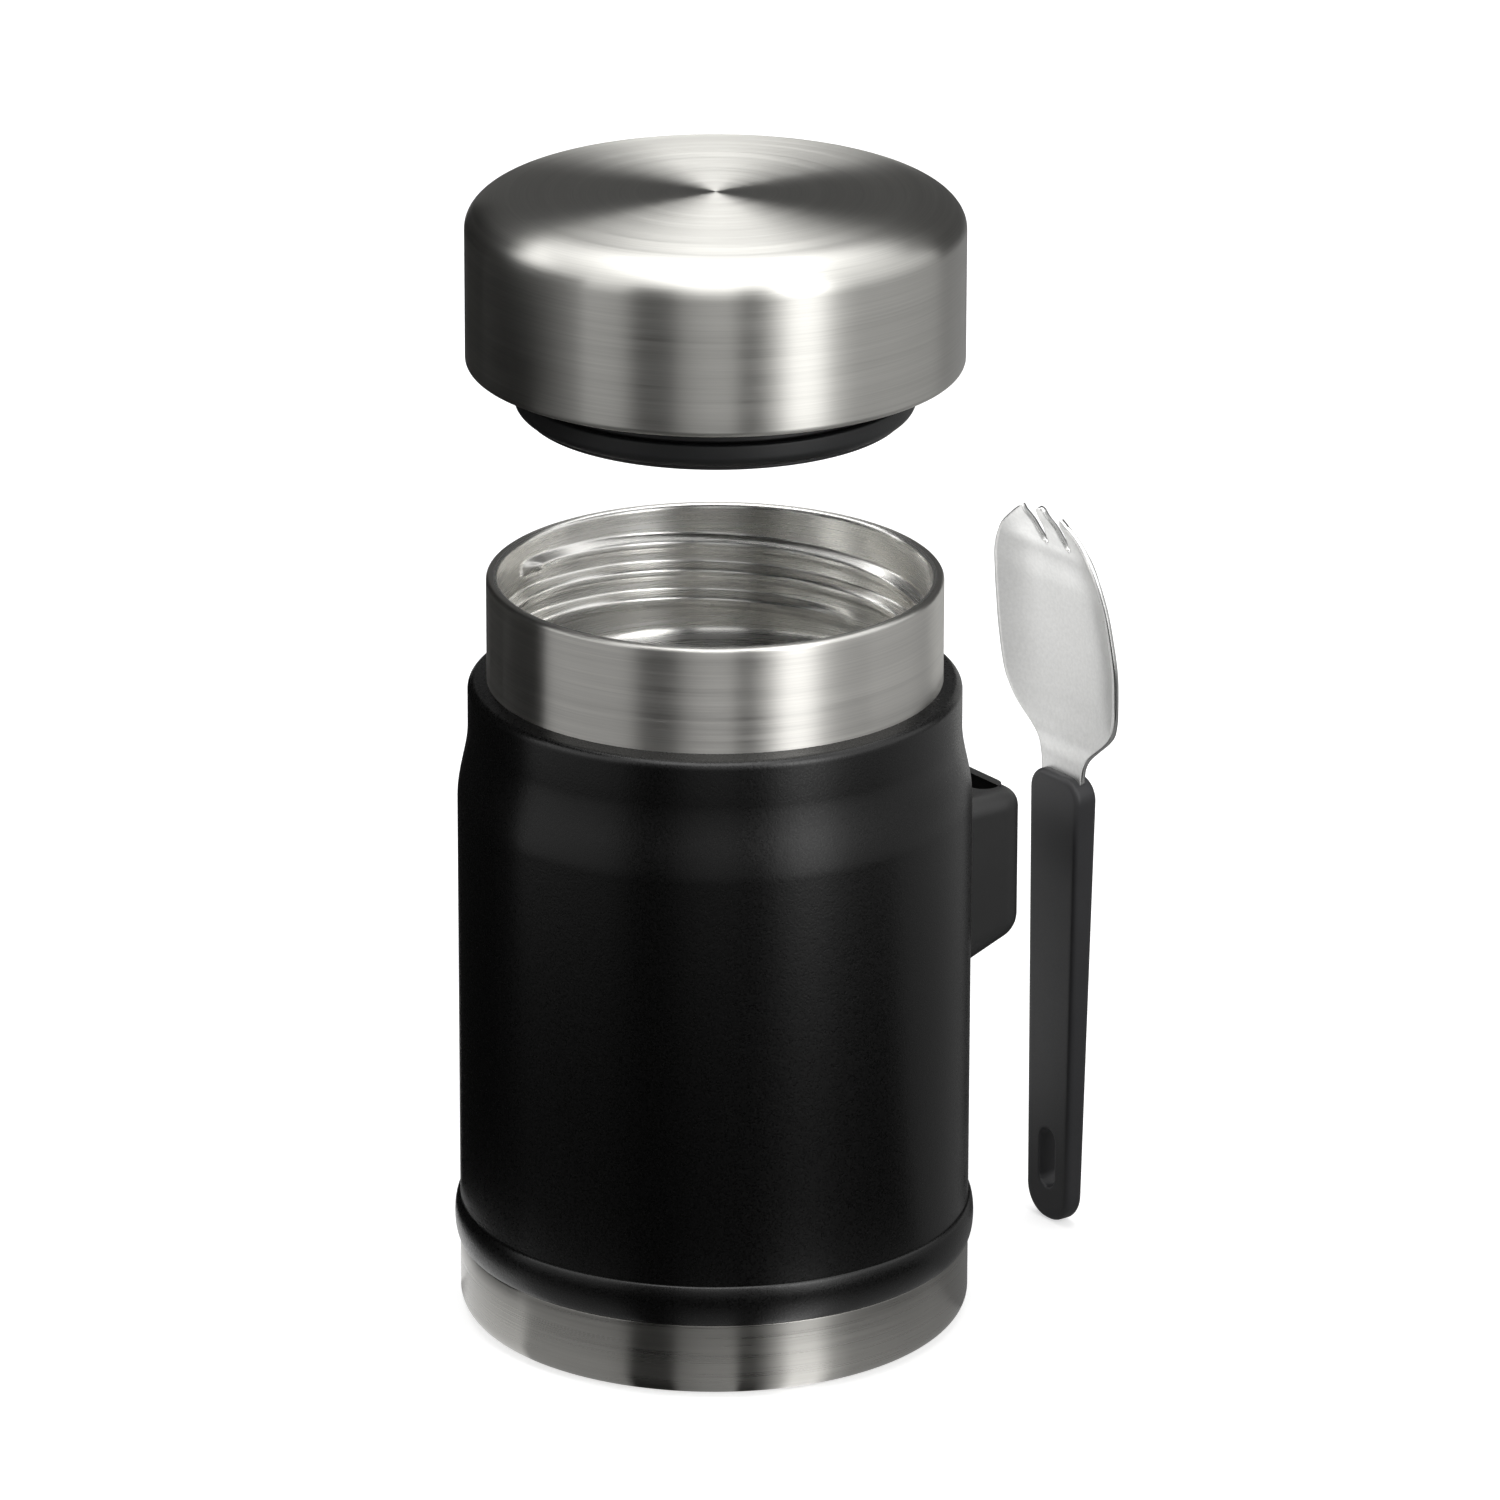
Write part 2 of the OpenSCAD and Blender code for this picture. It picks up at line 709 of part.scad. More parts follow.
module lid_foam() {
    bore_r = stopper_r - stopper_wall - foam_gap;
    low_z = floor_lip_t + floor_plug_t - stopper_reach;
    flange_top = ceiling_z + ceiling_t + flange_t;
    roof_z = lid_h - crown - cap_t - foam_gap;
    roof_r = lid_r - edge_reach - cap_t;
    color("khaki") translate([0, 0, lid_z]) revolve([
        [0, low_z],
        [spigot_r - stopper_wall - foam_gap, low_z],
        [spigot_r - stopper_wall - foam_gap, spigot_top_z + stopper_wall + foam_gap],
        [bore_r, spigot_top_z + stopper_wall + foam_gap],
        [bore_r, flange_top],
        [flange_r, flange_top],
        [roof_r, roof_z],
        [0, roof_z]
    ]);
}

module lid_seal() {
    inner_r = spigot_r + seal_gap;
    color([0.15, 0.15, 0.15]) translate([0, 0, lid_z]) revolve(concat(
        [[inner_r, seal_bottom_z]],
        arc_pts(seal_r - seal_round, seal_bottom_z + seal_round, seal_round, seal_round, -90, 0, 8),
        [[seal_r, seal_top_z], [inner_r, seal_top_z]]
    ));
}

inner_neck();
inner_vessel();
inner_bottom();
neck_ring();
outer_shell();
outer_bottom();
vacuum_plug();
getter();
getter_clip();
radiation_foil();
base_cup();
spork_holder();
holder_pad();
spork_head();
spork_handle();
lid_cap();
lid_lining();
stopper();
stopper_floor();
lid_foam();
lid_seal();
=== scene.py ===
"""Insulated food jar with its lid held above it and a spork standing beside its holder."""
import math

import bmesh
import bpy
import numpy as np
from mathutils import Matrix


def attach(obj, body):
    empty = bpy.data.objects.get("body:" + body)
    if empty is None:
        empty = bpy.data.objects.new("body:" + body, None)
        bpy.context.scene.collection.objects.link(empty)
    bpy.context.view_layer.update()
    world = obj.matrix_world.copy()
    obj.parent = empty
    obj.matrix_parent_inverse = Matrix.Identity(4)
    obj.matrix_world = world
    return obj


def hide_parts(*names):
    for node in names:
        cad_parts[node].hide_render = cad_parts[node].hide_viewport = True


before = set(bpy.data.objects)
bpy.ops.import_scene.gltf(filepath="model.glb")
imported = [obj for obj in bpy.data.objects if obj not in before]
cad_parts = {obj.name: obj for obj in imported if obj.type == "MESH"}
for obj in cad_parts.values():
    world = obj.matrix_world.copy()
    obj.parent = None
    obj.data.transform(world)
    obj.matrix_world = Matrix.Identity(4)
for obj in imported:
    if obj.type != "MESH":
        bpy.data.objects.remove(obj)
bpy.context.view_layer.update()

# Sizes of the pieces, in millimetres, with heights above the table
BODY_R = 43.0
SHEET = 0.8
FOOT_H = 13.0
FOOT_ROUND = 3.2
TUCK_H = 4.0
BEAD_TOP = 20.0
BEAD_PROUD = 0.9
FLARE_FOOT = 91.0
FLARE_TOP = 104.0
LEDGE = 112.0
LEDGE_FALL = 0.4
LEDGE_ROUND = 1.5
RIM = 130.0
RIM_ROUND = 0.7
RIM_ROLL = 1.2
MOUTH_R = 36.0
COLLAR_R = 38.0
THROAT_R = 31.6
VESSEL_R = 39.0
SEAT_TOP = 108.5
THROAT_TOP = 102.5
SHOULDER_TOP = 100.5
SHOULDER_FOOT = 90.9
VESSEL_SPLIT = 28.05
VESSEL_FLOOR = 22.05
BOTTOM_ROUND = 6.0

LID_Z = 167.0
LID_R = 41.2
LID_H = 29.0
EDGE_REACH = 8.0
EDGE_DROP = 5.5
CROWN = 0.5
CAP_T = 0.9
LINING = 1.4
CEILING = 18.6
STOPPER_R = 32.3
SPIGOT_R = 30.6
STOPPER_WALL = 2.0
REACH = 8.6
SEAL_R = 33.2
SEAL_LOW = -7.9
SEAL_TOP = -3.8
SEAL_ROUND = 2
FLANGE_W = 3.5
FLANGE_T = 1.6
PLUG_LIP = 0.6
PLUG_T = 2.2

# The threads: two ridges each; angles and turns count downwards from a ridge's start
LEAD = 10.0
STARTS = 2
NECK_START = 120
STOPPER_LAG = 54
LID_TRAVEL = 1980
NECK_THREAD = dict(top=RIM - 5, start=NECK_START, turns=1.3,
                   rise=1.6, foot=3.6, crest=0.7, fades=(9, 27))
STOPPER_THREAD = dict(top=LID_Z + 12, start=NECK_START + STOPPER_LAG + LID_TRAVEL, turns=0.95,
                      rise=3.0, foot=2.8, crest=0.8, fades=(12, 27))

PAD_R = 43.4
HOLDER_FACE = 56.9
HOLDER_HALF = 12.4
HOLDER_TOP = 83.3
HOLDER_H = 27.4
HOLDER_ROUND = 5.0
HOLDER_TOP_ROUND = 3.0
HOLDER_SLANT = math.radians(19.7)
SLOT_X = 52.6
SLOT_HALF = (2.6, 7.6)

SPORK_X = 69.4
SPORK_Y = -5.5
HANDLE_L = 82.0
HEAD_L = 48.6
HEAD_HALF = 16.1
BLADE_T = 1.0
BOWL_DEPTH = 3.3
TIP_LEAN = 6.0
TINE_L = 7.7
NOTCH_Y = 3.1
NOTCH_R = 0.8
NOTCH_OPEN = 2.45
NOTCH_FOOT = HANDLE_L + HEAD_L - TINE_L
SIDE_TIP_Y = 5.33
SIDE_TIP_FALL = 0.85
TIP_RUN = 0.5
NECK_HALF = 3.5
TANG_L = 18
HANDLE_HALF = (5.85, 6.75)
HANDLE_ROUND = (5.5, 4)
HANDLE_HALF_T = 1.75
HANDLE_SWELL = 0.5
HANDLE_LEAN = 0.83
HANG_LOW, HANG_TOP = 6, 16.8
HANG_HALF, HANG_ROUND = 2.1, 2.09
HANG_LIPS = ((-1, 0.35), (1, 0.1))


# Shapes

def arc(centre, radii, start, end, steps=12):
    """Points c + r (cos a, sin a) at even angles from start to end, in degrees."""
    a = np.radians(np.linspace(start, end, steps + 1))
    return np.stack([centre[0] + radii[0] * np.cos(a), centre[1] + radii[1] * np.sin(a)], -1)


def line(start, end, steps=1):
    """Points (1 - t) start + t end at even shares t."""
    t = np.linspace(0, 1, steps + 1)[:, None]
    return (1 - t) * np.array(start, float) + t * np.array(end, float)


def sway(start, end, steps=24):
    """An upright S: the height goes evenly, the radius as half a cosine wave."""
    t = np.linspace(0, 1, steps + 1)
    share = (1 - np.cos(np.pi * t)) / 2
    return np.stack([start[0] + (end[0] - start[0]) * share, start[1] + (end[1] - start[1]) * t], -1)


def softened(corners, setback=0.25, steps=4):
    """A closed outline whose corners C become parabolas (1-t)^2 A + 2t(1-t) C + t^2 B,
    where A and B lie the setback along the corner's two sides."""
    c = np.array(corners, float)
    s = np.broadcast_to(np.array(setback, float), len(c))[:, None]
    back, on = np.roll(c, 1, 0) - c, np.roll(c, -1, 0) - c
    back_l = np.linalg.norm(back, axis=1, keepdims=True)
    on_l = np.linalg.norm(on, axis=1, keepdims=True)
    a = c + back / back_l * np.minimum(s, back_l / 2)
    b = c + on / on_l * np.minimum(s, on_l / 2)
    t = np.linspace(0, 1, steps + 1)[None, :, None]
    return ((1 - t) ** 2 * a[:, None] + 2 * t * (1 - t) * c[:, None] + t ** 2 * b[:, None]).reshape(-1, 2)


def through(knots, x):
    """Smooth curve through (place, value) knots: cubic Hermite spans whose slope at a knot
    is that of the chord between its neighbours."""
    place, value = np.array(knots, float).T
    slope = np.gradient(value, place, edge_order=1)
    slope[1:-1] = (value[2:] - value[:-2]) / (place[2:] - place[:-2])
    i = np.clip(np.searchsorted(place, x, side="right") - 1, 0, len(place) - 2)
    h = place[i + 1] - place[i]
    t = (x - place[i]) / h
    return (value[i] * (2 * t ** 3 - 3 * t ** 2 + 1) + value[i + 1] * (3 * t ** 2 - 2 * t ** 3)
            + h * slope[i] * (t ** 3 - 2 * t ** 2 + t) + h * slope[i + 1] * (t ** 3 - t ** 2))


def turned(profile, around=256, ridge=None):
    """Carries a profile of (radius, height) points round the Z axis: (r cos a, r sin a, z).
    A ridge adds its own height at each angle and height to the radius."""
    a = np.arange(around) * 2 * np.pi / around
    r = profile[:, :1] + 0 * a
    z = profile[:, 1:] + 0 * a
    if ridge is not None:
        r = r + ridge(np.degrees(a)[None, :] + 0 * z, r, z)
    return np.stack([r * np.cos(a), r * np.sin(a), z], -1)


def eased(t):
    """Smooth step from 0 to 1: 3t^2 - 2t^3."""
    t = np.clip(t, 0, 1)
    return t * t * (3 - 2 * t)


def thread(angle, height, top, start, turns, rise, foot, crest, fades):
    """Height of the thread's ridges above their wall. Each ridge's centre line falls by
    LEAD for each turn from its start; the ridge is a smooth hump across that line, and
    grows and fades over its first and last degrees."""
    total = np.zeros_like(height)
    for n in range(STARTS):
        passed = (start + 360 * n / STARTS - angle) % 360
        for lap in range(2):
            along = passed + 360 * lap
            off = np.abs(height - top + LEAD * along / 360)
            hump = eased((foot / 2 - off) / ((foot - crest) / 2))
            grown = eased(along / fades[0]) * eased((360 * turns - along) / fades[1])
            total = np.maximum(total, rise * hump * grown)
    return total


def skin(name, grids, around=True, closed=True):
    """Covers grids of points (rows, columns, 3), in millimetres, with quads. The columns
    close on themselves if the piece goes around, the rows if its profile is closed."""
    points, faces, first = [], [], 0
    for g in grids:
        rows, columns = g.shape[:2]
        index = first + np.arange(rows * columns).reshape(rows, columns)
        if closed:
            index = np.concatenate([index, index[:1]], 0)
        if around:
            index = np.concatenate([index, index[:, :1]], 1)
        quad = [index[:-1, :-1], index[:-1, 1:], index[1:, 1:], index[1:, :-1]]
        faces.append(np.stack(quad, -1).reshape(-1, 4))
        points.append(g.reshape(-1, 3))
        first += rows * columns
    mesh = bpy.data.meshes.new(name)
    mesh.from_pydata((np.concatenate(points) / 1000).tolist(), [], np.concatenate(faces).tolist())
    shape = bmesh.new()
    shape.from_mesh(mesh)
    bmesh.ops.remove_doubles(shape, verts=shape.verts, dist=1e-6)
    bmesh.ops.dissolve_degenerate(shape, edges=shape.edges, dist=1e-8)
    bmesh.ops.recalc_face_normals(shape, faces=shape.faces)
    shape.to_mesh(mesh)
    shape.free()
    mesh.shade_smooth()
    piece = bpy.data.objects.new(name, mesh)
    bpy.context.scene.collection.objects.link(piece)
    return piece


def finished(piece, material, body, slot, *nodes, crease=35):
    """Gives a piece its material, creases its sharp edges and puts it in the place of its nodes."""
    piece.data.set_sharp_from_angle(angle=math.radians(crease))
    piece.data.materials.append(material)
    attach(piece, body)
    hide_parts(*nodes)
    return piece


# Materials

def plain(name, colour, metallic=0.0, roughness=0.5, **sockets):
    """A Principled material with its uniform values set on the shader itself."""
    material = bpy.data.materials.new(name)
    material.use_nodes = True
    shader = material.node_tree.nodes["Principled BSDF"]
    shader.inputs["Base Color"].default_value = (*colour, 1)
    shader.inputs["Metallic"].default_value = metallic
    shader.inputs["Roughness"].default_value = roughness
    for key, value in sockets.items():
        shader.inputs[key.replace("_", " ")].default_value = value
    return material


class Tree:
    """Short names for a material's nodes and links."""

    def __init__(self, material):
        self.nodes = material.node_tree.nodes
        self.links = material.node_tree.links
        self.shader = self.nodes.get("Principled BSDF")

    def add(self, kind, inputs=None, **settings):
        n = self.nodes.new("ShaderNode" + kind)
        for key, value in settings.items():
            setattr(n, key, value)
        for key, value in (inputs or {}).items():
            if isinstance(value, bpy.types.NodeSocket):
                self.links.new(value, n.inputs[key])
            else:
                n.inputs[key].default_value = value
        return n

    def math(self, operation, a, b=0.0, c=0.0):
        return self.add("Math", {0: a, 1: b, 2: c}, operation=operation).outputs[0]

    def spot(self):
        return self.add("TexCoord").outputs["Object"]

    def noise(self, vector, scale, detail=2.0, roughness=0.5):
        n = self.add("TexNoise", {"Vector": vector, "Scale": scale, "Detail": detail, "Roughness": roughness})
        return n.outputs["Fac"]

    def shift(self, value, low, high):
        """Maps a noise's 0.3 to 0.7 onto low to high."""
        return self.add("MapRange", {0: value, 1: 0.3, 2: 0.7, 3: low, 4: high}).outputs[0]

    def bump(self, height, strength, distance):
        n = self.add("Bump", {"Height": height, "Strength": strength, "Distance": distance})
        self.links.new(n.outputs[0], self.shader.inputs["Normal"])

    def to(self, socket, value):
        self.links.new(value, self.shader.inputs[socket])

    def blend(self, share, a, b):
        n = self.add("Mix", {0: share}, data_type="RGBA")
        n.inputs[6].default_value = (*a, 1)
        n.inputs[7].default_value = (*b, 1)
        return n.outputs[2]


def scaled(colour, factor):
    """A colour made darker or lighter, up to white."""
    return tuple(min(1, factor * c) for c in colour)


def brushed(name, colour, roughness, way=-1.0, grain=1.0, shine=0.8):
    """Steel brushed in circles round the axis. The grain is noise drawn out along each
    circle: it changes quickly with radius plus way times height, slowly around."""
    material = plain(name, colour, 1.0, roughness, Anisotropic=shine, Anisotropic_Rotation=0.25)
    t = Tree(material)
    place = t.add("SeparateXYZ", {0: t.spot()})
    x, y, z = place.outputs
    radius = t.math("SQRT", t.math("ADD", t.math("MULTIPLY", x, x), t.math("MULTIPLY", y, y)))
    across = t.math("MULTIPLY_ADD", z, way, radius)
    fine = t.add("CombineXYZ", {0: t.math("MULTIPLY", x, 30), 1: t.math("MULTIPLY", y, 30),
                                2: t.math("MULTIPLY", across, 3400)})
    broad = t.add("CombineXYZ", {0: t.math("MULTIPLY", x, 12), 1: t.math("MULTIPLY", y, 12),
                                 2: t.math("MULTIPLY", across, 700)})
    lines = t.noise(fine.outputs[0], 1.0, 3.0, 0.6)
    bands = t.noise(broad.outputs[0], 1.0, 2.0, 0.5)
    both = t.math("ADD", t.math("MULTIPLY", lines, 0.65), t.math("MULTIPLY", bands, 0.35))
    t.to("Roughness", t.shift(both, roughness - 0.05 * grain, roughness + 0.05 * grain))
    dark, light = scaled(colour, 1 - 0.12 * grain), scaled(colour, 1 + 0.1 * grain)
    t.to("Base Color", t.blend(t.shift(both, 0, 1), dark, light))
    t.bump(lines, 0.12 * grain, 0.00002)
    t.to("Tangent", t.add("Tangent", direction_type="RADIAL", axis="Z").outputs[0])
    return material


def powder_coat():
    """Near-black textured paint: a fine orange-peel bump with duller and glossier specks."""
    material = plain("black_powder_coat", (0.0006, 0.00058, 0.00055), 0.0, 0.3, Specular_IOR_Level=0.45)
    t = Tree(material)
    spot = t.spot()
    peel = t.noise(spot, 2600, 2.0, 0.55)
    soft = t.noise(spot, 700, 1.0, 0.5)
    t.to("Roughness", t.shift(peel, 0.24, 0.36))
    dark, light = (0.0005, 0.00048, 0.00045), (0.0008, 0.00077, 0.00072)
    t.to("Base Color", t.blend(t.shift(soft, 0, 1), dark, light))
    t.bump(t.math("MULTIPLY_ADD", soft, 0.6, peel), 0.35, 0.00006)
    return material


def moulded(name, colour, roughness, grain=1.0):
    """Moulded plastic or rubber: a fine spark-eroded grain and a faint drift of tone."""
    material = plain(name, colour, 0.0, roughness)
    t = Tree(material)
    spot = t.spot()
    fine = t.noise(spot, 3800, 2.0, 0.6)
    drift = t.noise(spot, 60, 2.0, 0.5)
    t.to("Roughness", t.shift(fine, roughness - 0.05, roughness + 0.05))
    t.to("Base Color", t.blend(t.shift(drift, 0, 1), scaled(colour, 0.9), scaled(colour, 1.12)))
    t.bump(fine, 0.12 * grain, 0.00003)
    return material


def rolled(name, colour, roughness, scale=900, strength=0.1):
    """Plain metal as rolled or cast: cloudy tone and a slight uneven polish."""
    material = plain(name, colour, 1.0, roughness)
    t = Tree(material)
    spot = t.spot()
    cloud = t.noise(spot, 90, 3.0, 0.55)
    fine = t.noise(spot, scale, 3.0, 0.6)
    t.to("Roughness", t.shift(cloud, roughness - 0.04, roughness + 0.05))
    t.to("Base Color", t.blend(t.shift(fine, 0, 1), scaled(colour, 0.93), scaled(colour, 1.05)))
    t.bump(fine, strength, 0.00002)
    return material


def grainy(name, light, dark, roughness, scale, metallic=0.0):
    """Foam, cast pill or pressed pad: cells of two tones with a bump at the same scale."""
    material = plain(name, light, metallic, roughness)
    t = Tree(material)
    cells = t.noise(t.spot(), scale, 4.0, 0.65)
    t.to("Base Color", t.blend(t.shift(cells, 0, 1), dark, light))
    t.bump(cells, 0.5, 0.0001)
    return material


lid_steel = brushed("lid_steel", (0.545, 0.538, 0.51), 0.35, shine=0.92)
collar_steel = brushed("collar_steel", (0.69, 0.678, 0.645), 0.34, shine=0.9)
# Painted shade: the foot cup is the same bare steel as the collar, given about half its tone to stand in for
# the darker reflection round the foot.
foot_steel_painted_shade = brushed("foot_steel_painted_shade", (0.335, 0.328, 0.31), 0.29, shine=0.9)
# Painted light: the liner's steel is given a near-white tone, lighter than real steel and the collar,
# standing in for the light that fills the mouth's inside.
liner_steel_painted_light = brushed("liner_steel_painted_light", (0.92, 0.91, 0.88), 0.27, way=1.0, grain=0.8, shine=0.92)
hidden_steel = rolled("hidden_steel", (0.5, 0.5, 0.49), 0.35)
spork_steel = rolled("spork_steel", (0.63, 0.63, 0.62), 0.38, 1600, 0.06)
# The blade's rim is polished, with a lower roughness, and is also given a lighter tone than the blade's own
# steel: a painted highlight along the rim.
edge_polish_and_highlight = rolled("edge_polish_and_highlight", (0.72, 0.72, 0.71), 0.25, 1200, 0.02)
copper_foil = rolled("copper_foil", (0.72, 0.4, 0.26), 0.2)
coat_black = powder_coat()
handle_plastic = moulded("handle_plastic", (0.014, 0.014, 0.0155), 0.5)
holder_plastic = moulded("holder_plastic", (0.011, 0.011, 0.011), 0.5)
lining_plastic = moulded("lining_plastic", (0.014, 0.014, 0.014), 0.45)
# The stopper and the seal are black, and are made darker still than the lid's lining: partly their own black,
# partly painted shade for the dark under the lid.
stopper_plastic = moulded("stopper_plastic", (0.006, 0.006, 0.0064), 0.45)
seal_silicone = moulded("seal_silicone", (0.005, 0.0052, 0.0056), 0.5, 0.5)
solder_glass = grainy("solder_glass", (0.45, 0.42, 0.33), (0.35, 0.32, 0.25), 0.15, 300)
getter_alloy = grainy("getter_alloy", (0.24, 0.24, 0.25), (0.15, 0.15, 0.16), 0.6, 1500, 1.0)
pad_rubber = grainy("pad_rubber", (0.06, 0.06, 0.06), (0.04, 0.04, 0.04), 0.8, 1500)
fill_foam = grainy("fill_foam", (0.86, 0.82, 0.66), (0.76, 0.71, 0.54), 0.9, 900)


# The jar's steel liner

def neck_thread(angle, radius, height):
    """The mouth's two ridges stand inwards from its wall, and nowhere else."""
    rise = thread(angle, height, **NECK_THREAD)
    return np.where(np.abs(radius - MOUTH_R) < 0.02, -rise, 0)


seat = np.concatenate([sway((MOUTH_R, SEAT_TOP), (THROAT_R, THROAT_TOP)), [[THROAT_R, SHOULDER_TOP]]])
neck = np.concatenate([
    line((MOUTH_R, RIM - RIM_ROUND), (MOUTH_R, SEAT_TOP), 100),
    seat[1:],
    (seat + [SHEET, 0])[::-1],
    [[MOUTH_R + SHEET, RIM]],
    arc((MOUTH_R + RIM_ROUND, RIM - RIM_ROUND), (RIM_ROUND, RIM_ROUND), 90, 180, 6)[:-1],
])
finished(skin("liner_neck", [turned(neck, 400, neck_thread)]),
         liner_steel_painted_light, "jar", "vessel_steel", "inner_neck", crease=50)

wall = np.concatenate([sway((THROAT_R, SHOULDER_TOP), (VESSEL_R, SHOULDER_FOOT)), [[VESSEL_R, VESSEL_SPLIT]]])
finished(skin("liner_wall", [turned(np.concatenate([wall, (wall + [SHEET, 0])[::-1]]))]),
         liner_steel_painted_light, "jar", "vessel_steel", "inner_vessel")

corner = (VESSEL_R + SHEET - BOTTOM_ROUND, VESSEL_FLOOR + BOTTOM_ROUND)
inside = BOTTOM_ROUND - SHEET
floor_profile = np.concatenate([
    [[0, VESSEL_FLOOR]],
    arc(corner, (BOTTOM_ROUND, BOTTOM_ROUND), -90, 0, 16),
    arc(corner, (inside, inside), 0, -90, 16),
    line((corner[0], VESSEL_FLOOR + SHEET), (0, VESSEL_FLOOR + SHEET), 8)[1:],
])
finished(skin("liner_floor", [turned(floor_profile)]),
         liner_steel_painted_light, "jar", "inner_steel", "inner_bottom")

# The bare collar, rolled over the liner's rim
collar = np.concatenate([
    [[COLLAR_R - SHEET, LEDGE - 3 * SHEET], [COLLAR_R, LEDGE - 3 * SHEET]],
    line((COLLAR_R, LEDGE - 1), (COLLAR_R, RIM - 0.9), 12),
    arc((COLLAR_R - RIM_ROUND, RIM - RIM_ROUND), (RIM_ROUND, RIM_ROUND), 0, 90, 6),
    [[MOUTH_R + SHEET, RIM], [MOUTH_R + SHEET, RIM - RIM_ROLL], [COLLAR_R - SHEET, RIM - RIM_ROLL]],
])
finished(skin("neck_collar", [turned(collar)]), collar_steel, "jar", "brushed_steel", "neck_ring")

# The painted shell, with its ledge, flare and bead
edge_z = LEDGE - LEDGE_FALL - LEDGE_ROUND
flare = sway((LID_R, FLARE_TOP), (BODY_R, FLARE_FOOT), 28)
bead_mid = (FOOT_H + BEAD_TOP) / 2
shell = np.concatenate([
    [[COLLAR_R, LEDGE]],
    arc((LID_R - LEDGE_ROUND, edge_z), (LEDGE_ROUND, LEDGE_ROUND), 86, 0, 10),
    flare,
    arc((BODY_R, bead_mid), (BEAD_PROUD, (BEAD_TOP - FOOT_H) / 2), 90, -90, 24),
    [[BODY_R - SHEET, FOOT_H]],
    (flare - [SHEET, 0])[::-1],
    [[LID_R - SHEET, edge_z - SHEET], [COLLAR_R, LEDGE - 2 * SHEET]],
])
finished(skin("painted_shell", [turned(shell, 320)]), coat_black, "jar", "black_powder_coat", "outer_shell")

# The bare foot cup
tuck = BODY_R - SHEET - 0.05
foot_mid = (BODY_R - FOOT_ROUND, FOOT_ROUND)
foot = np.concatenate([
    line((0, 0), (foot_mid[0], 0), 6)[:-1],
    arc(foot_mid, (FOOT_ROUND, FOOT_ROUND), -90, 0, 14),
    line((BODY_R, FOOT_ROUND), (BODY_R, FOOT_H - 0.25), 4)[1:],
    arc((BODY_R - 0.25, FOOT_H - 0.25), (0.25, 0.25), 0, 90, 3)[1:],
    [[tuck, FOOT_H], [tuck, FOOT_H + TUCK_H], [tuck - SHEET, FOOT_H + TUCK_H],
     [tuck - SHEET, FOOT_H - SHEET], [BODY_R - SHEET, FOOT_H - SHEET]],
    arc(foot_mid, (FOOT_ROUND - SHEET, FOOT_ROUND - SHEET), 0, -90, 14),
    [[0, SHEET]],
])
finished(skin("foot_cup", [turned(foot)]), foot_steel_painted_shade, "jar", "brushed_steel", "base_cup")


# The lid

def cap_wall(radius, height, reach, drop):
    """A cap's outside from its top centre down its side: a shallow parabola, then a
    quarter of an ellipse that leaves it without a kink."""
    flat = radius - reach
    r = np.linspace(0, 1, 25)
    top = np.stack([flat * r, height - CROWN * r ** 2], -1)
    return np.concatenate([top, arc((flat, height - CROWN - drop), (reach, drop), 88, 0, 28)])


hem_w, hem_h, hem_round = 1.6, 1.8, 1.1
inner_cap = cap_wall(LID_R - CAP_T, LID_H - CAP_T, EDGE_REACH - CAP_T / 2, EDGE_DROP - CAP_T / 2)
cap = np.concatenate([
    cap_wall(LID_R, LID_H, EDGE_REACH, EDGE_DROP),
    line((LID_R, LID_H - CROWN - EDGE_DROP), (LID_R, hem_round), 10)[1:],
    arc((LID_R - hem_round, hem_round), (hem_round, hem_round), 0, -90, 8)[1:],
    [[LID_R - hem_w, 0], [LID_R - hem_w, hem_h], [LID_R - CAP_T, hem_h]],
    inner_cap[::-1],
]) + [0, LID_Z]
finished(skin("lid_cap_steel", [turned(cap, 320)]), lid_steel, "lid", "lid_steel", "lid_cap")

lining_r = LID_R - CAP_T
lining_in = lining_r - LINING
flange_z = CEILING + FLANGE_T
lining = softened([
    (lining_in, hem_h), (lining_r, hem_h), (lining_r, flange_z),
    (STOPPER_R, flange_z), (STOPPER_R, CEILING), (lining_in, CEILING),
], [0.3, 0, 0, 0, 0, 1.2], 6) + [0, LID_Z]
finished(skin("skirt_lining", [turned(lining)]), lining_plastic, "lid", "lining_plastic", "lid_lining")


def stopper_thread(angle, radius, height):
    """The stopper's two ridges stand outwards from its wall, and nowhere else."""
    rise = thread(angle, height, **STOPPER_THREAD)
    return np.where(np.abs(radius - STOPPER_R) < 0.02, rise, 0)


bore = STOPPER_R - STOPPER_WALL
spigot_top = SEAL_TOP + 0.1
spigot_low = PLUG_LIP - REACH
plug_in = SPIGOT_R - STOPPER_WALL
flange_r = STOPPER_R + FLANGE_W
stopper = np.concatenate([
    [[plug_in, spigot_low], [SPIGOT_R, spigot_low], [SPIGOT_R, spigot_top],
     [STOPPER_R - 0.3, spigot_top]],
    line((STOPPER_R, spigot_top + 0.3), (STOPPER_R, flange_z), 110),
    [[flange_r, flange_z], [flange_r, flange_z + FLANGE_T], [bore, flange_z + FLANGE_T],
     [bore, spigot_top + STOPPER_WALL], [plug_in, spigot_top + STOPPER_WALL]],
]) + [0, LID_Z]
finished(skin("screw_stopper", [turned(stopper, 360, stopper_thread)]),
         stopper_plastic, "lid", "stopper_plastic", "stopper", crease=50)

lip = SPIGOT_R + 0.7
plug = softened([
    (0, -REACH), (lip, -REACH), (lip, spigot_low), (plug_in, spigot_low),
    (plug_in, PLUG_T - REACH), (0, PLUG_T - REACH),
], [0, 0.3, 0.15, 0, 0, 0]) + [0, LID_Z]
finished(skin("stopper_plug", [turned(plug)]), stopper_plastic, "lid", "stopper_plastic", "stopper_floor")

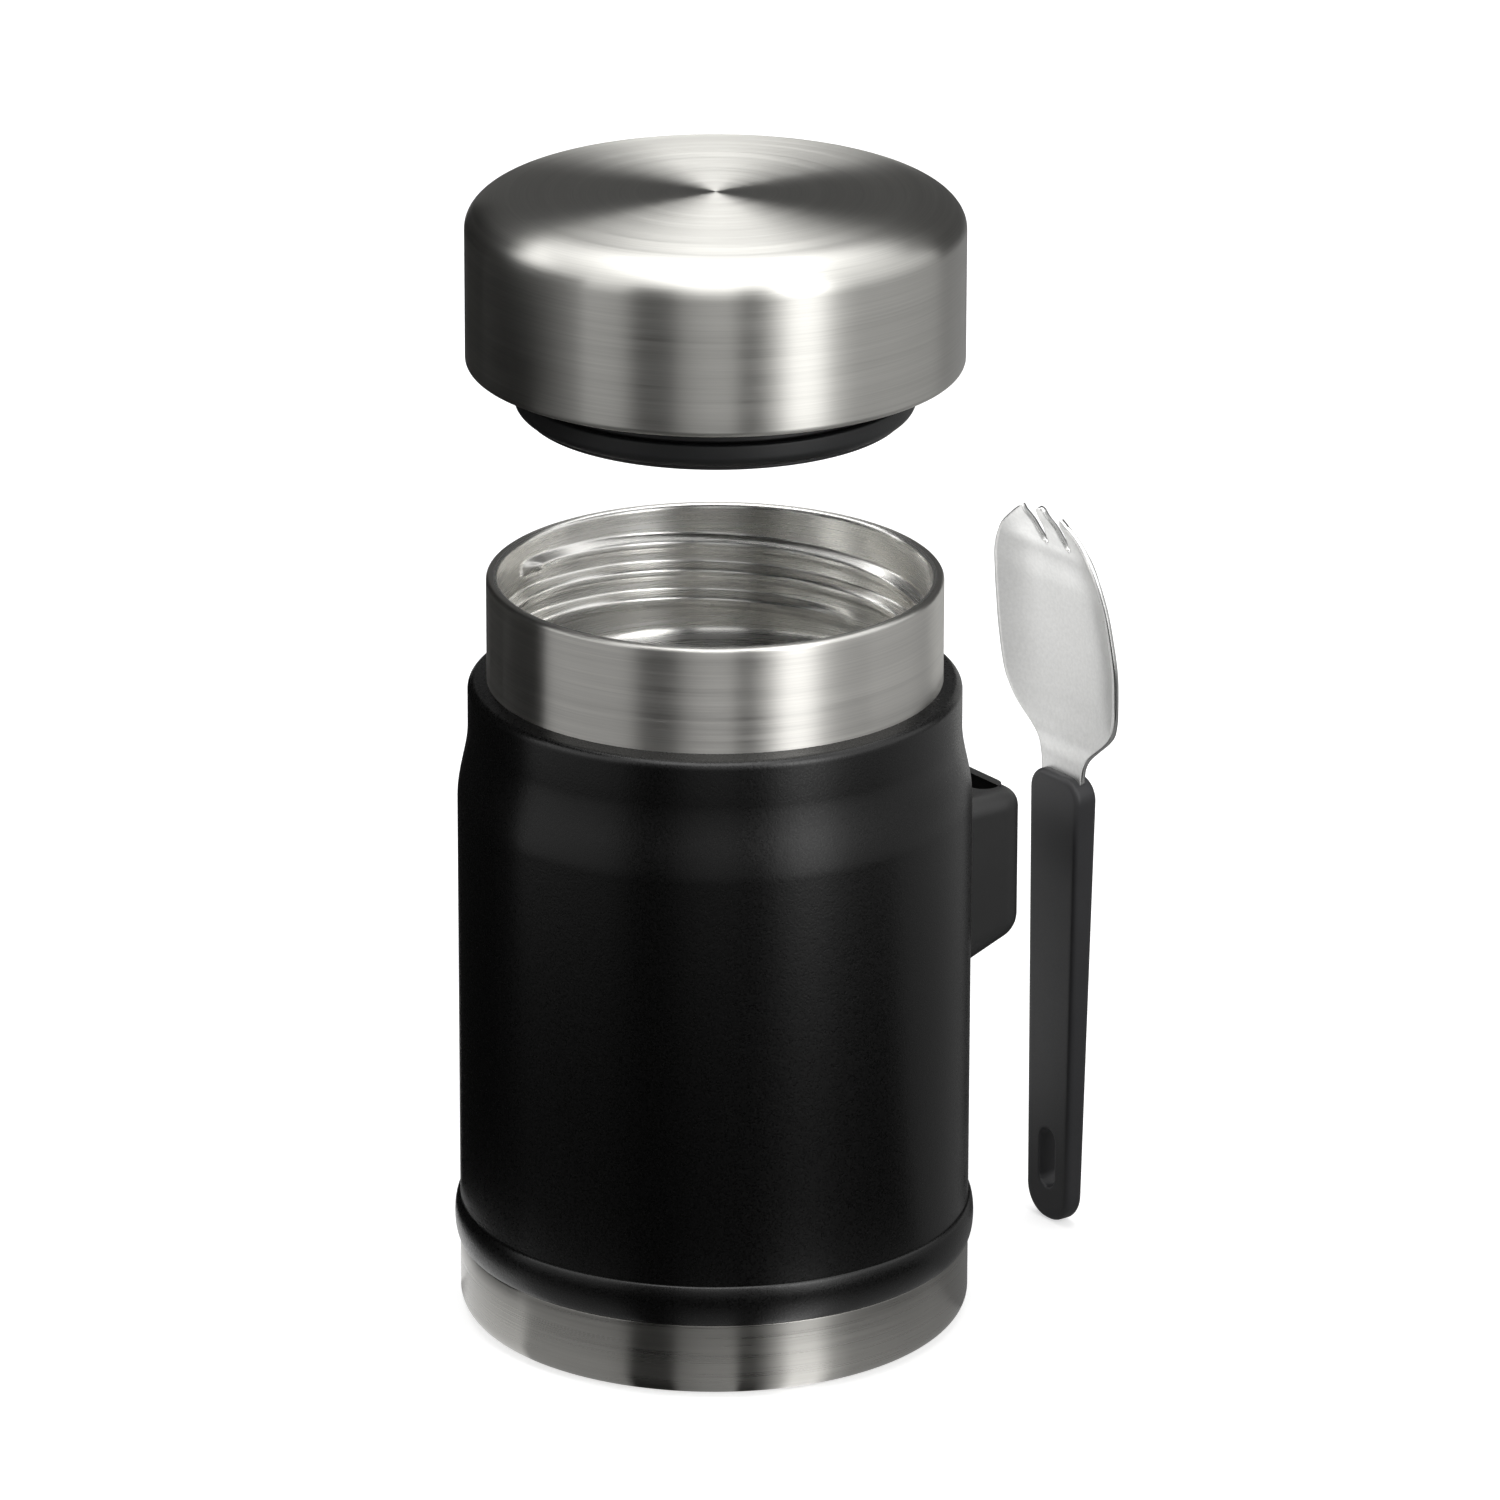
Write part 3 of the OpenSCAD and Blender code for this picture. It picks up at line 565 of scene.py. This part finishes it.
seal_in = SPIGOT_R + 0.1
seal = np.concatenate([
    [[seal_in, SEAL_LOW]],
    arc((SEAL_R - SEAL_ROUND, SEAL_LOW + SEAL_ROUND), (SEAL_ROUND, SEAL_ROUND), -90, 0, 14),
    arc((SEAL_R - 0.4, SEAL_TOP - 0.4), (0.4, 0.4), 0, 90, 5),
    [[seal_in, SEAL_TOP]],
]) + [0, LID_Z]
finished(skin("sealing_ring", [turned(seal)]), seal_silicone, "lid_seal", "seal_silicone", "lid_seal")


# The spork

WIDTH = [(0, 0.33), (0.04, 0.35), (0.08, 0.41), (0.12, 0.54), (0.165, 0.71), (0.206, 0.83),
         (0.25, 0.9), (0.29, 0.943), (0.37, 0.98), (0.47, 1), (0.58, 0.983), (0.68, 0.953),
         (0.78, 0.886), (0.865, 0.76), (0.925, 0.575), (0.98, 0.34)]
RIM_LEAN = [(-0.5, 0), (0.04, 0), (0.12, -0.08), (0.2, 0), (0.3, 0.16), (0.47, 0.31),
            (0.68, 0.56), (0.78, 0.72), (0.865, 0.82), (0.925, 0.83), (0.98, 0.92), (1.05, 0.98)]
BOWL_DIP = [(-0.5, 0), (0.04, 0), (0.165, 0.15), (0.29, 0.64), (0.47, 0.86), (0.68, 1.02),
            (0.78, 1.03), (0.84, 1), (0.905, 0.58), (0.967, 0.13), (1.05, -0.2)]
BOWL_POWER = 3.2
DISH_TOP = HANDLE_L + 0.96 * HEAD_L


def head_half(z):
    """Half the head's width at a height: a smooth curve through its knots."""
    return HEAD_HALF * through(WIDTH, np.clip((z - HANDLE_L) / HEAD_L, 0, 0.98))


def head_at(y, z):
    """Middle of the blade: the rim leans towards the jar with height, and the bowl dips
    behind it by 1 - |y / half width| to the bowl's power."""
    t = (z - HANDLE_L) / HEAD_L
    share = np.minimum(np.abs(y) / head_half(np.minimum(z, DISH_TOP)), 1.15)
    dip = BOWL_DEPTH * through(BOWL_DIP, t) * (1 - share ** BOWL_POWER)
    return np.stack([SPORK_X - TIP_LEAN * through(RIM_LEAN, t) + dip, SPORK_Y + y, z], -1)


def strip(low, high, z, columns):
    """Points between two edges at each height, evenly across."""
    q = np.linspace(0, 1, columns)
    y = low[:, None] * (1 - q) + high[:, None] * q
    return head_at(y, z[:, None] + 0 * y)


def tine(tip_y, tip_z, low, high, run):
    """One tine's two edges: they follow the notches, whose feet are round, and close on the
    tip as an ellipse over the run below it."""
    z = NOTCH_FOOT + (tip_z - NOTCH_FOOT) * np.sin(np.linspace(0, np.pi / 2, 36))
    up = z - NOTCH_FOOT
    gap = np.where(up < NOTCH_R, np.sqrt(np.clip(NOTCH_R ** 2 - (NOTCH_R - up) ** 2, 0, 1)),
                   NOTCH_R + (NOTCH_OPEN - NOTCH_R) * (up - NOTCH_R) / TINE_L)
    close = np.sqrt(np.clip(1 - np.clip((z - tip_z + run) / run, 0, 1) ** 2, 0, 1))
    a = low + gap
    b = head_half(z) if high is None else high - gap
    return tip_y + (a - tip_y) * close, tip_y + (b - tip_y) * close, z


beta = NOTCH_Y / float(head_half(np.array([NOTCH_FOOT]))[0])
tang_z = np.linspace(HANDLE_L - TANG_L, HANDLE_L - 1.25, 6)
low_z = np.concatenate([tang_z, np.linspace(HANDLE_L - 1.2, NOTCH_FOOT, 78)])
half = np.where(low_z < HANDLE_L - 1.21, NECK_HALF, head_half(low_z))
a, b, z = tine(0.0, HANDLE_L + HEAD_L, -NOTCH_Y, NOTCH_Y, TIP_RUN)
grids = [strip(-beta * half, beta * half, low_z, 17), strip(a, b, z, 17)]
a, b, z = tine(SIDE_TIP_Y, HANDLE_L + HEAD_L - SIDE_TIP_FALL, NOTCH_Y, None, TIP_RUN)
for side in (-1, 1):
    grids += [strip(side * beta * half, side * half, low_z, 21), strip(side * a, side * b, z, 21)]
bowl = skin("spork_bowl", grids, around=False, closed=False)
bowl.data.materials.append(spork_steel)
bowl.data.materials.append(edge_polish_and_highlight)
thick = bowl.modifiers.new("sheet", "SOLIDIFY")
thick.thickness = BLADE_T / 1000
thick.offset = 0
thick.use_rim = True
thick.material_offset_rim = 1
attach(bowl, "spork")
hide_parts("spork_head")


def ring(low_z, high_z, low_half, high_half, low_round, high_round):
    """A closed outline in Y and Z: two straight sides that may taper, and two ends whose
    corners are quarter circles. Each side and end has the same count of points on every ring."""
    right = line((low_half, low_z + low_round), (high_half, high_z - high_round), 40)
    top = np.concatenate([
        arc((high_half - high_round, high_z - high_round), (high_round, high_round), 0, 90, 12)[1:],
        arc((high_round - high_half, high_z - high_round), (high_round, high_round), 90, 180, 12)[:-1]])
    left = (right * [-1, 1])[::-1]
    bottom = np.concatenate([
        arc((low_round - low_half, low_z + low_round), (low_round, low_round), 180, 270, 12)[1:],
        arc((low_half - low_round, low_z + low_round), (low_round, low_round), 270, 360, 12)[:-1]])
    return np.concatenate([right, top, left, bottom])


def inset(loop, distance):
    """Moves a loop inwards along its own normals."""
    run = np.roll(loop, -1, 0) - np.roll(loop, 1, 0)
    run = run / np.maximum(np.linalg.norm(run, axis=1, keepdims=True), 1e-9)
    return loop + distance * np.stack([-run[:, 1], run[:, 0]], -1)


def handle_grid():
    """The handle is a ring: from the hanging slot's wall over a rounded lip to the front
    face, over the rounded outer edge to the back face, and back to the slot. Its faces lie
    half its thickness from the middle; both change evenly with height."""
    outer = ring(0, HANDLE_L, *HANDLE_HALF, *HANDLE_ROUND)
    slot = ring(HANG_LOW, HANG_TOP, HANG_HALF, HANG_HALF, HANG_ROUND, HANG_ROUND)
    low, run = HANDLE_ROUND[0], HANDLE_L - sum(HANDLE_ROUND)
    rows = []
    for face, lip in HANG_LIPS:
        part = []
        for a in np.radians(np.linspace(0, 90, 9)):
            part.append((inset(slot, -lip * (1 - math.cos(a))), lip * (1 - math.sin(a))))
        part.append((inset(slot, -lip - 0.3), 0))
        part.append((inset(outer, 1.5), 0))
        for a in np.radians(np.linspace(90, 0, 9)):
            part.append((inset(outer, 1 - math.cos(a)), 1 - math.sin(a)))
        for loop, fall in (part if face < 0 else part[::-1]):
            share = np.clip((loop[:, 1] - low) / run, 0, 1)
            half_t = HANDLE_HALF_T + HANDLE_SWELL * share - fall
            x = SPORK_X - HANDLE_LEAN * (1 - share) + face * half_t
            rows.append(np.stack([x, SPORK_Y + loop[:, 0], loop[:, 1]], -1))
    return np.array(rows)


finished(skin("spork_grip", [handle_grid()]),
         handle_plastic, "spork", "handle_plastic", "spork_handle", crease=60)


# The spork's holder

def holder_loop(d):
    """Plan outline of the holder moved inwards by d: two sides, a face with round corners
    between them, and a back that follows the shell."""
    half, face, r = HOLDER_HALF - d, HOLDER_FACE - d, HOLDER_ROUND - d

    def back(start, end, steps):
        y = np.linspace(start, end, steps + 1) * half
        return np.stack([np.sqrt(PAD_R ** 2 - y ** 2), y], -1)
    parts = [
        line(back(-1, -1, 1)[0], (face - r, -half), 14), arc((face - r, r - half), (r, r), -90, 0, 12),
        line((face, r - half), (face, half - r), 14), arc((face - r, half - r), (r, r), 0, 90, 12),
        line((face - r, half), back(1, 1, 1)[0], 14),
        back(1, 0.6, 12), back(0.6, -0.6, 14), back(-0.6, -1, 12),
    ]
    return np.concatenate([p[:-1] for p in parts])


def slot_loop(d):
    """Plan outline of the holder's slot moved outwards by d: a long round-ended hole."""
    a, b, r = SLOT_HALF[0] + d, SLOT_HALF[1] + d, SLOT_HALF[0] - 0.1 + d
    parts = [
        line((r - a, -b), (a - r, -b), 14), arc((a - r, r - b), (r, r), -90, 0, 12),
        line((a, r - b), (a, b - r), 14), arc((a - r, b - r), (r, r), 0, 90, 12),
        line((a - r, b), (r - a, b), 14), arc((r - a, b - r), (r, r), 90, 180, 12),
        line((-a, b - r), (-a, r - b), 14), arc((r - a, r - b), (r, r), 180, 270, 12),
    ]
    return np.concatenate([p[:-1] for p in parts]) + [SLOT_X, 0]


def holder_foot(loop):
    """Height of the holder's underside: a slanting plane whose edges roll up with a radius r.
    Beyond the flat it stands at the plane's height + (r - root of r^2 - distance^2) / cos
    of the slant, and under the face's corner it is a ball of the same radius."""
    x, y = loop.T
    r, slope = HOLDER_ROUND, math.tan(HOLDER_SLANT)
    centre_x, centre_z = HOLDER_FACE - r, HOLDER_TOP - HOLDER_H + r
    beyond = np.maximum(np.abs(y) - HOLDER_HALF + r, 0)
    reach = np.sqrt(np.clip(r * r - beyond ** 2, 0, None))
    rolled = centre_z - (centre_x - x) * slope - reach / math.cos(HOLDER_SLANT)
    ball = centre_z - np.sqrt(np.clip(reach ** 2 - (x - centre_x) ** 2, 0, None))
    return np.where(x - reach * math.sin(HOLDER_SLANT) < centre_x, rolled, ball)


def holder_grid():
    """The holder is a ring round its slot: up the slot's wall over a small lip to the top,
    over the round top edge, down the sides, and under the round foot back to the slot."""
    rows = []
    lip, edge = 0.4, HOLDER_TOP_ROUND
    for a in np.radians(np.linspace(0, 90, 6)):
        rows.append((slot_loop(lip * (1 - math.cos(a))), HOLDER_TOP - lip * (1 - math.sin(a))))
    for a in np.radians(np.linspace(90, 0, 13)):
        rows.append((holder_loop(edge * (1 - math.cos(a))), HOLDER_TOP - edge * (1 - math.sin(a))))
    for a in np.radians(np.linspace(0, 89, 15)):
        loop = holder_loop(HOLDER_ROUND * (1 - math.cos(a)))
        rows.append((loop, holder_foot(loop)))
    rows.append((slot_loop(0), holder_foot(slot_loop(0))))
    return np.array([np.concatenate([loop, (z + 0 * loop[:, 0])[:, None]], -1) for loop, z in rows])


finished(skin("holder_block", [holder_grid()]), holder_plastic, "jar", "holder_plastic", "spork_holder")

# Hidden pieces keep the shape of their solid, and get a finish
for name, material in {
    "holder_pad": pad_rubber, "outer_bottom": hidden_steel,
    "vacuum_plug": solder_glass, "getter": getter_alloy, "getter_clip": hidden_steel,
    "radiation_foil": copper_foil, "lid_foam": fill_foam,
}.items():
    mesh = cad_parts[name].data
    mesh.materials.clear()
    mesh.materials.append(material)


# The studio

# The camera looks towards FACING, and stands at the angle FRONT round the axis, in degrees
FACING = -36.0
FRONT = -126.0 + 0.2
PITCH = 19.96
ROLL = -0.15
SENSOR = 36
FOCAL = 10209 / 1500
CAMERA_AT = (0.00585, -1.6, 0.68)

# The cards' distances from the axis and heights, in millimetres
FAR = 800
ROOF = 1000
LOW = 0.4
FLAG_R = 70


def glow(name, build):
    """A material that only gives off light, by a small tree."""
    material = bpy.data.materials.new(name)
    material.use_nodes = True
    t = Tree(material)
    t.nodes.clear()
    colour, strength = build(t)
    light = t.add("Emission", {"Color": colour, "Strength": strength})
    out = t.add("OutputMaterial")
    t.links.new(light.outputs[0], out.inputs[0])
    return material


# Greys of the cards round the object, by angle in degrees to the right of the camera's side
GREYS = [(-180, 0.4), (-165, 1.0), (-101, 1.0), (-96, 0.48), (-50, 0.43), (-42, 0.38), (-37, 0.03),
         (-20, 0.03), (-15, 0.28), (-4, 0.4), (9, 0.45), (12, 0.05), (18, 0.05), (23, 0.25), (30, 0.9),
         (36, 1.95), (47, 1.95), (56, 0.75), (66, 0.48), (100, 0.4), (130, 0.36), (180, 0.36)]


def turn_share(t):
    """Angle round the axis as a share of a turn, 0.5 at the camera's side, and the distance."""
    x, y, _ = t.add("SeparateXYZ", {0: t.spot()}).outputs
    far = t.math("SQRT", t.math("ADD", t.math("MULTIPLY", x, x), t.math("MULTIPLY", y, y)))
    angle = t.math("ARCTAN2", y, x)
    return t.math("FRACT", t.math("ADD", t.math("DIVIDE", angle, 2 * math.pi), 1.5 - FRONT / 360)), far


def ring_greys(t):
    """The angle round the axis from the camera's side, through the table of greys. Close to
    the axis the pattern narrows by 1 - 0.0215 / distance. Gives the colour and the distance."""
    share, far = turn_share(t)
    narrow = t.math("SUBTRACT", 1.0, t.math("DIVIDE", 0.0215, t.math("MAXIMUM", far, 0.03)))
    share = t.math("ADD", t.math("DIVIDE", t.math("SUBTRACT", share, 0.5), narrow), 0.5)
    ramp = t.add("ValToRGB", {0: share})
    stops = ramp.color_ramp.elements
    stops[0].position, stops[1].position = 0, 1
    for angle, _ in GREYS[1:-1]:
        stops.new(angle / 360 + 0.5)
    for stop, (_, grey) in zip(stops, GREYS):
        stop.color = (grey / 3, grey / 3, grey / 3, 1)
    return ramp.outputs[0], far


def floor_greys(t):
    """The ring of greys, lit close to the foot and again beyond 0.16 m."""
    colour, far = ring_greys(t)
    near = t.add("MapRange", {0: far, 1: 0.055, 2: 0.09, 3: 3.3, 4: 0.13}).outputs[0]
    wide = t.add("MapRange", {0: far, 1: 0.26, 2: 0.37, 3: 0.13, 4: 3.0}).outputs[0]
    return colour, t.math("MAXIMUM", near, wide)


def widening_grey(near, far, start, end):
    """An even grey round the axis that goes from near to far between two distances."""
    def look(t):
        level = t.add("MapRange", {0: turn_share(t)[1], 1: start, 2: end, 3: near, 4: far})
        return (1, 1, 1, 1), level.outputs[0]
    return look


def side_greys(t):
    """The ring of greys, growing brighter with height."""
    colour, _ = ring_greys(t)
    height = t.add("SeparateXYZ", {0: t.spot()}).outputs[2]
    return colour, t.add("MapRange", {0: height, 1: 0.15, 2: 0.42, 3: 3.0, 4: 8.4}).outputs[0]


def even_grey(grey):
    return lambda t: ((grey, grey, grey, 1), 1.0)


def rising_grey(low, high, start, end):
    """A grey that rises from low to high with the square of the share of the way between two
    angles to the right of the camera's side."""
    def look(t):
        share = turn_share(t)[0]
        way = t.add("MapRange", {0: share, 1: start / 360 + 0.5, 2: end / 360 + 0.5}).outputs[0]
        return (1, 1, 1, 1), t.math("MULTIPLY_ADD", t.math("MULTIPLY", way, way), high - low, low)
    return look


def roof_greys(t):
    """Bright along the line from the camera over the object, fading to both sides."""
    x, y, _ = t.add("SeparateXYZ", {0: t.spot()}).outputs
    a = math.radians(FRONT)
    beside = t.math("ADD", t.math("MULTIPLY", x, -math.sin(a)), t.math("MULTIPLY", y, math.cos(a)))
    fall = t.add("MapRange", {0: t.math("ABSOLUTE", beside), 1: 0.15, 2: 0.5, 3: 3.7, 4: 1.4})
    return (1, 1, 1, 1), fall.outputs[0]


def card(name, grid, look):
    """A studio card: seen in shine only, and casting no shadow."""
    piece = skin(name, [grid], around=False, closed=False)
    piece.data.materials.append(glow(name + "_grey", look))
    piece.visible_camera = False
    piece.visible_diffuse = False
    piece.visible_transmission = False
    piece.visible_shadow = False
    piece.visible_volume_scatter = False
    return piece


def curved(radii, heights, start, end):
    """A sheet carried round the axis from one angle to another, right of the camera's side."""
    a = np.radians(FRONT + np.linspace(start, end, 97))
    r = np.linspace(*radii, 5)[:, None] + 0 * a
    z = np.linspace(*heights, 5)[:, None] + 0 * a
    return np.stack([r * np.cos(a), r * np.sin(a), z], -1)


card("side_cards", curved((FAR, FAR), (0.5, ROOF), -180, 180), side_greys)
card("floor_card", curved((1, FAR), (LOW, LOW), -98, 82), floor_greys)
card("floor_right", curved((1, FAR), (LOW, LOW), 82, 165), widening_grey(0.23, 0.46, 0.2, 0.4))
card("floor_left", curved((1, FAR), (LOW, LOW), -195, -98), widening_grey(1.2, 0.08, 0.13, 0.22))
card("roof_card", curved((1, FAR + 20), (ROOF, ROOF), -180, 180), roof_greys)
card("back_flag", curved((700, 700), (60, 800), 118, 242), even_grey(0.08))
card("left_flag", curved((FLAG_R, FLAG_R), (0.5, 215), -132, -76), even_grey(0.003))
card("jar_flag", curved((FLAG_R, FLAG_R), (0.5, 150), -76, -70), even_grey(0.003))
card("lid_flag", curved((FLAG_R, FLAG_R), (150, 215), -76, -45), rising_grey(0.01, 0.38, -72, -45))


def put(obj, x, y, z, place):
    """Turns an object's axes along x, y and z, and puts its origin at a place."""
    m = Matrix.Identity(4)
    for i, axis in enumerate((x, y, z, place)):
        for j in range(3):
            m[j][i] = axis[j]
    obj.matrix_world = m


def aim(obj, place, at):
    """Puts an object at a place and points its -Z at another."""
    z = np.array(place, float) - np.array(at, float)
    z /= np.linalg.norm(z)
    x = np.cross((0, 0, 1), z)
    x /= np.linalg.norm(x)
    put(obj, x, np.cross(z, x), z, place)


def around(angle, distance, height):
    """A point at an angle from the camera's side, to its right, at a distance and height in metres."""
    a = math.radians(FRONT + angle)
    return distance * math.cos(a), distance * math.sin(a), height


def lamp(name, place, size, power, at=(0, 0, 0.1), shine_only=False):
    """An area lamp that lights surfaces by scatter alone, or by shine alone."""
    data = bpy.data.lights.new(name, "AREA")
    data.shape = "RECTANGLE"
    data.size, data.size_y = size
    data.energy = power
    obj = bpy.data.objects.new(name, data)
    bpy.context.scene.collection.objects.link(obj)
    aim(obj, place, at)
    obj.visible_camera = False
    obj.visible_diffuse = not shine_only
    obj.visible_glossy = shine_only
    return obj


lamp("top_box", around(180, 0.25, 1.4), (1.1, 1.1), 9)
lamp("right_box", around(38, 1.2, 0.7), (0.4, 1.2), 7)
lamp("left_box", around(-70, 1.3, 0.6), (0.8, 1.0), 5)
lamp("spork_light", (0.059, 0.006, 0.104), (0.06, 0.064), 0.0084,
     at=(0.2, 0.006, 0.104), shine_only=True)


def directly_seen(t):
    """1 for rays from the camera, off a shine or through a clear piece, and 0 for others."""
    path = t.add("LightPath").outputs
    mirrored = t.math("MAXIMUM", path["Is Camera Ray"], path["Is Glossy Ray"])
    return t.math("MAXIMUM", mirrored, path["Is Transmission Ray"])


floor =skin("floor", [turned(line((1, 0), (6000, 0), 6), 64)], around=True, closed=False)
floor_white = plain("floor_white", (0.75, 0.75, 0.75), 0.0, 1.0, Specular_IOR_Level=0.0)
t = Tree(floor_white)
glow_level = t.math("MULTIPLY", directly_seen(t), 0.55)
lift = t.add("Emission", {"Color": (1, 1, 1, 1), "Strength": glow_level})
both = t.add("AddShader", {0: t.shader.outputs[0], 1: lift.outputs[0]})
t.links.new(both.outputs[0], t.nodes["Material Output"].inputs[0])
floor.data.materials.append(floor_white)

scene = bpy.context.scene
world = bpy.data.worlds.new("studio_air")
world.use_nodes = True
scene.world = world
t = Tree(world)
level = t.add("MapRange", {0: directly_seen(t), 3: 0.5, 4: 1.0})
t.links.new(level.outputs[0], t.nodes["Background"].inputs["Strength"])
t.nodes["Background"].inputs["Color"].default_value = (1, 1, 1, 1)

camera = bpy.data.objects.new("camera", bpy.data.cameras.new("camera"))
scene.collection.objects.link(camera)
camera.data.sensor_width = SENSOR
camera.data.lens = FOCAL * SENSOR
camera.data.clip_start = 0.1
camera.data.clip_end = 20
pitch, roll, turn = math.radians(PITCH), math.radians(ROLL), math.radians(FACING)
level_run = math.cos(pitch)
ahead = np.array([-math.sin(turn) * level_run, math.cos(turn) * level_run, -math.sin(pitch)])
side = np.array([math.cos(turn), math.sin(turn), 0])
above = np.cross(side, ahead)
right = side * math.cos(roll) - above * math.sin(roll)
up = side * math.sin(roll) + above * math.cos(roll)
across, along, height = CAMERA_AT
place = (across * math.cos(turn) - along * math.sin(turn),
         across * math.sin(turn) + along * math.cos(turn), height)
put(camera, right, up, -ahead, place)
scene.camera = camera

scene.view_settings.view_transform = "Standard"
